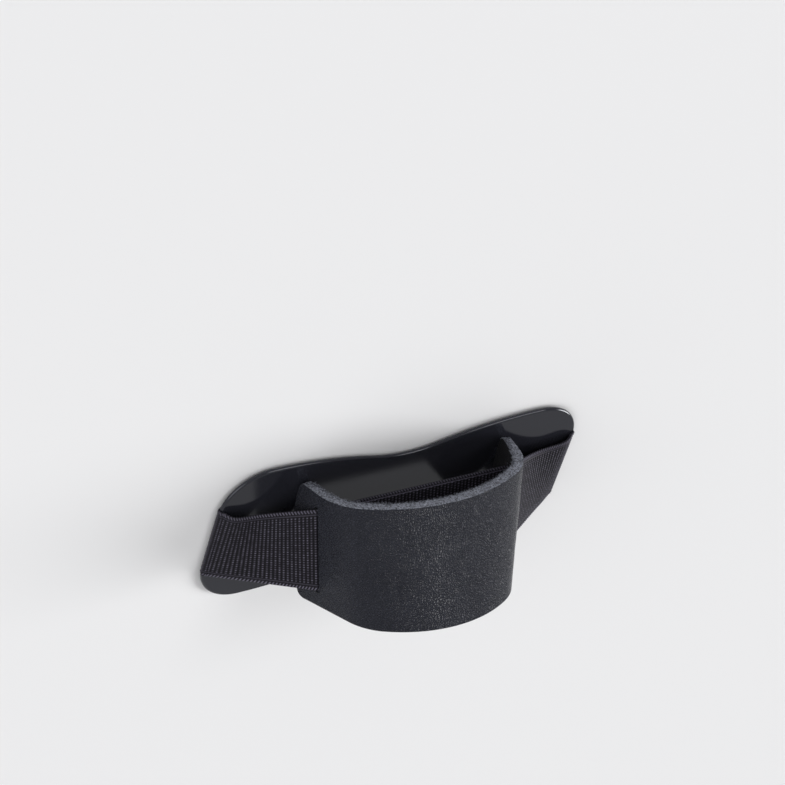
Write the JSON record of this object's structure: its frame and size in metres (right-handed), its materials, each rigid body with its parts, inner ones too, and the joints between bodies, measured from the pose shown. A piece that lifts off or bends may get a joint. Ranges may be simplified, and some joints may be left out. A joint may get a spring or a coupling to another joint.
{
  "type": "phone ring holder",
  "caption": "Slim waisted adhesive plate with an elastic strap that carries a bent leather finger loop, used to hold a handheld device or prop it up.",
  "frame": {"origin": "centre of the adhesive face on the back of the plate", "axes": "+X along the plate, +Y across it towards the side that the loop leans to, +Z out of the plate towards the loop"},
  "size_m": [0.089, 0.0399, 0.0341],
  "materials": {
    "plate": "satin black",
    "pad": "matte black foam tape",
    "webbing": "charcoal woven elastic",
    "leather": "dark slate, fine pebble grain"
  },
  "bodies": {
    "base": {"base_plate": "plate", "adhesive_pad": "pad", "elastic_strap": "webbing"},
    "loop": {"leather_band": "leather"}
  },
  "joints": [
    {"name": "loop_tilt", "type": "hinge", "parent": "base", "child": "loop", "pos_m": [0, 0, 0.0015], "axis": [1, 0, 0], "range_deg": [0, 36], "deforming": ["elastic_strap"]}
  ]
}
